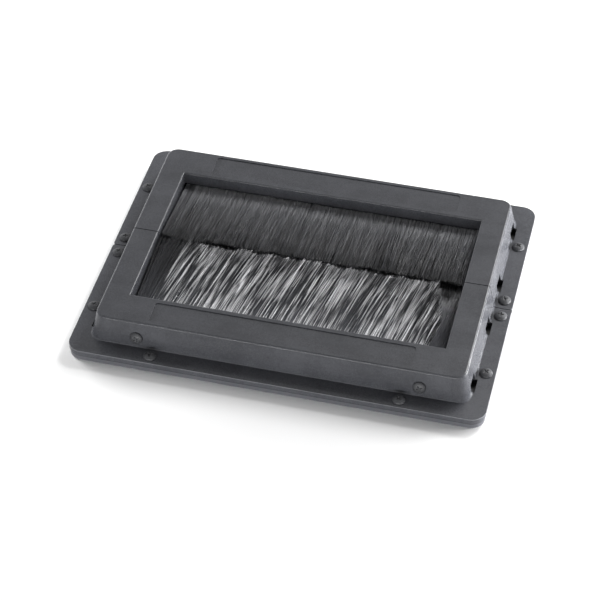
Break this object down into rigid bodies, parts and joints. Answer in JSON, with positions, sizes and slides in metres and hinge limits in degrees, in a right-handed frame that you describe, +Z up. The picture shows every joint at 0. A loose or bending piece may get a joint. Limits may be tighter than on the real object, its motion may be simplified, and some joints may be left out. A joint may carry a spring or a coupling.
{
  "type": "brush cable grommet",
  "caption": "Rectangular floor cable grommet: two half frames on base plates, each with an upper and a lower strip brush whose bristles meet over the cable opening.",
  "frame": {"origin": "middle of the underside, on the floor plane", "axes": "+X along the long rails, -Y towards the front half, +Z up"},
  "size_m": [0.28, 0.2132, 0.0275],
  "materials": {
    "frame_plastic": "charcoal moulded plastic with a fine satin grain",
    "base_plastic": "charcoal moulded plastic, smooth",
    "holder_plastic": "black extruded plastic",
    "screw_steel": "black coated steel, satin",
    "channel_steel": "zinc-plated sheet steel",
    "wire_steel": "drawn steel wire",
    "bristle_nylon": "black nylon filament, glossy"
  },
  "bodies": {
    "root": {"front_frame": "frame_plastic", "front_base_plate": "base_plastic", "front_brush_holder": "holder_plastic", "front_flange_screws": "screw_steel", "front_wall_screws": "screw_steel", "front_upper_channel": "channel_steel", "front_upper_wire": "wire_steel", "front_upper_bristles": "bristle_nylon", "front_lower_channel": "channel_steel", "front_lower_wire": "wire_steel", "front_lower_bristles": "bristle_nylon", "rear_frame": "frame_plastic", "rear_base_plate": "base_plastic", "rear_brush_holder": "holder_plastic", "rear_flange_screws": "screw_steel", "rear_wall_screws": "screw_steel", "rear_upper_channel": "channel_steel", "rear_upper_wire": "wire_steel", "rear_upper_bristles": "bristle_nylon", "rear_lower_channel": "channel_steel", "rear_lower_wire": "wire_steel", "rear_lower_bristles": "bristle_nylon"}
  },
  "joints": []
}
